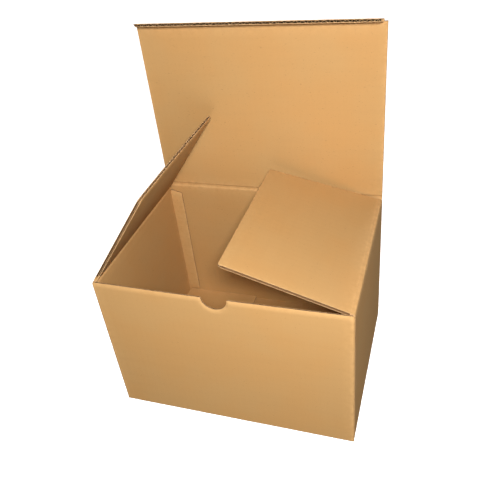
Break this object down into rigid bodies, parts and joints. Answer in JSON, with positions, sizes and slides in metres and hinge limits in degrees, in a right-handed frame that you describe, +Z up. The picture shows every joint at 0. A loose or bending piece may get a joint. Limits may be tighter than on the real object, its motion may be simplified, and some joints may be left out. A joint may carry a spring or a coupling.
{
  "type": "open corrugated carton with tuck lid",
  "caption": "Erected kraft corrugated carton standing open: lid upright on the back wall with its tuck flap turned forward, dust flaps leaning in, thumb notch in the front wall.",
  "frame": {"origin": "centre of the carton's underside", "axes": "+X to the right seen from the front, +Y from the front wall with the thumb notch towards the back wall with the lid, +Z up"},
  "size_m": [0.3, 0.228, 0.43],
  "materials": {
    "kraft_board": "matt unbleached kraft paper over corrugated board"
  },
  "bodies": {
    "carton": {"carton_body": "kraft_board"},
    "lid": {"lid": "kraft_board"},
    "tuck": {"tuck_flap": "kraft_board"},
    "left_dust": {"left_dust_flap": "kraft_board"},
    "right_dust": {"right_dust_flap": "kraft_board"}
  },
  "joints": [
    {"name": "lid_crease", "type": "hinge", "parent": "carton", "child": "lid", "pos_m": [0, 0.112, 0.2025], "axis": [-1, 0, 0], "range_deg": [0, 100]},
    {"name": "tuck_crease", "type": "hinge", "parent": "lid", "child": "tuck", "pos_m": [0, 0.112, 0.422], "axis": [1, 0, 0], "range_deg": [-74, 21]},
    {"name": "left_dust_crease", "type": "hinge", "parent": "carton", "child": "left_dust", "pos_m": [-0.148, 0, 0.198], "axis": [0, -1, 0], "range_deg": [-54, 136]},
    {"name": "right_dust_crease", "type": "hinge", "parent": "carton", "child": "right_dust", "pos_m": [0.148, 0, 0.198], "axis": [0, 1, 0], "range_deg": [-18, 172]}
  ]
}
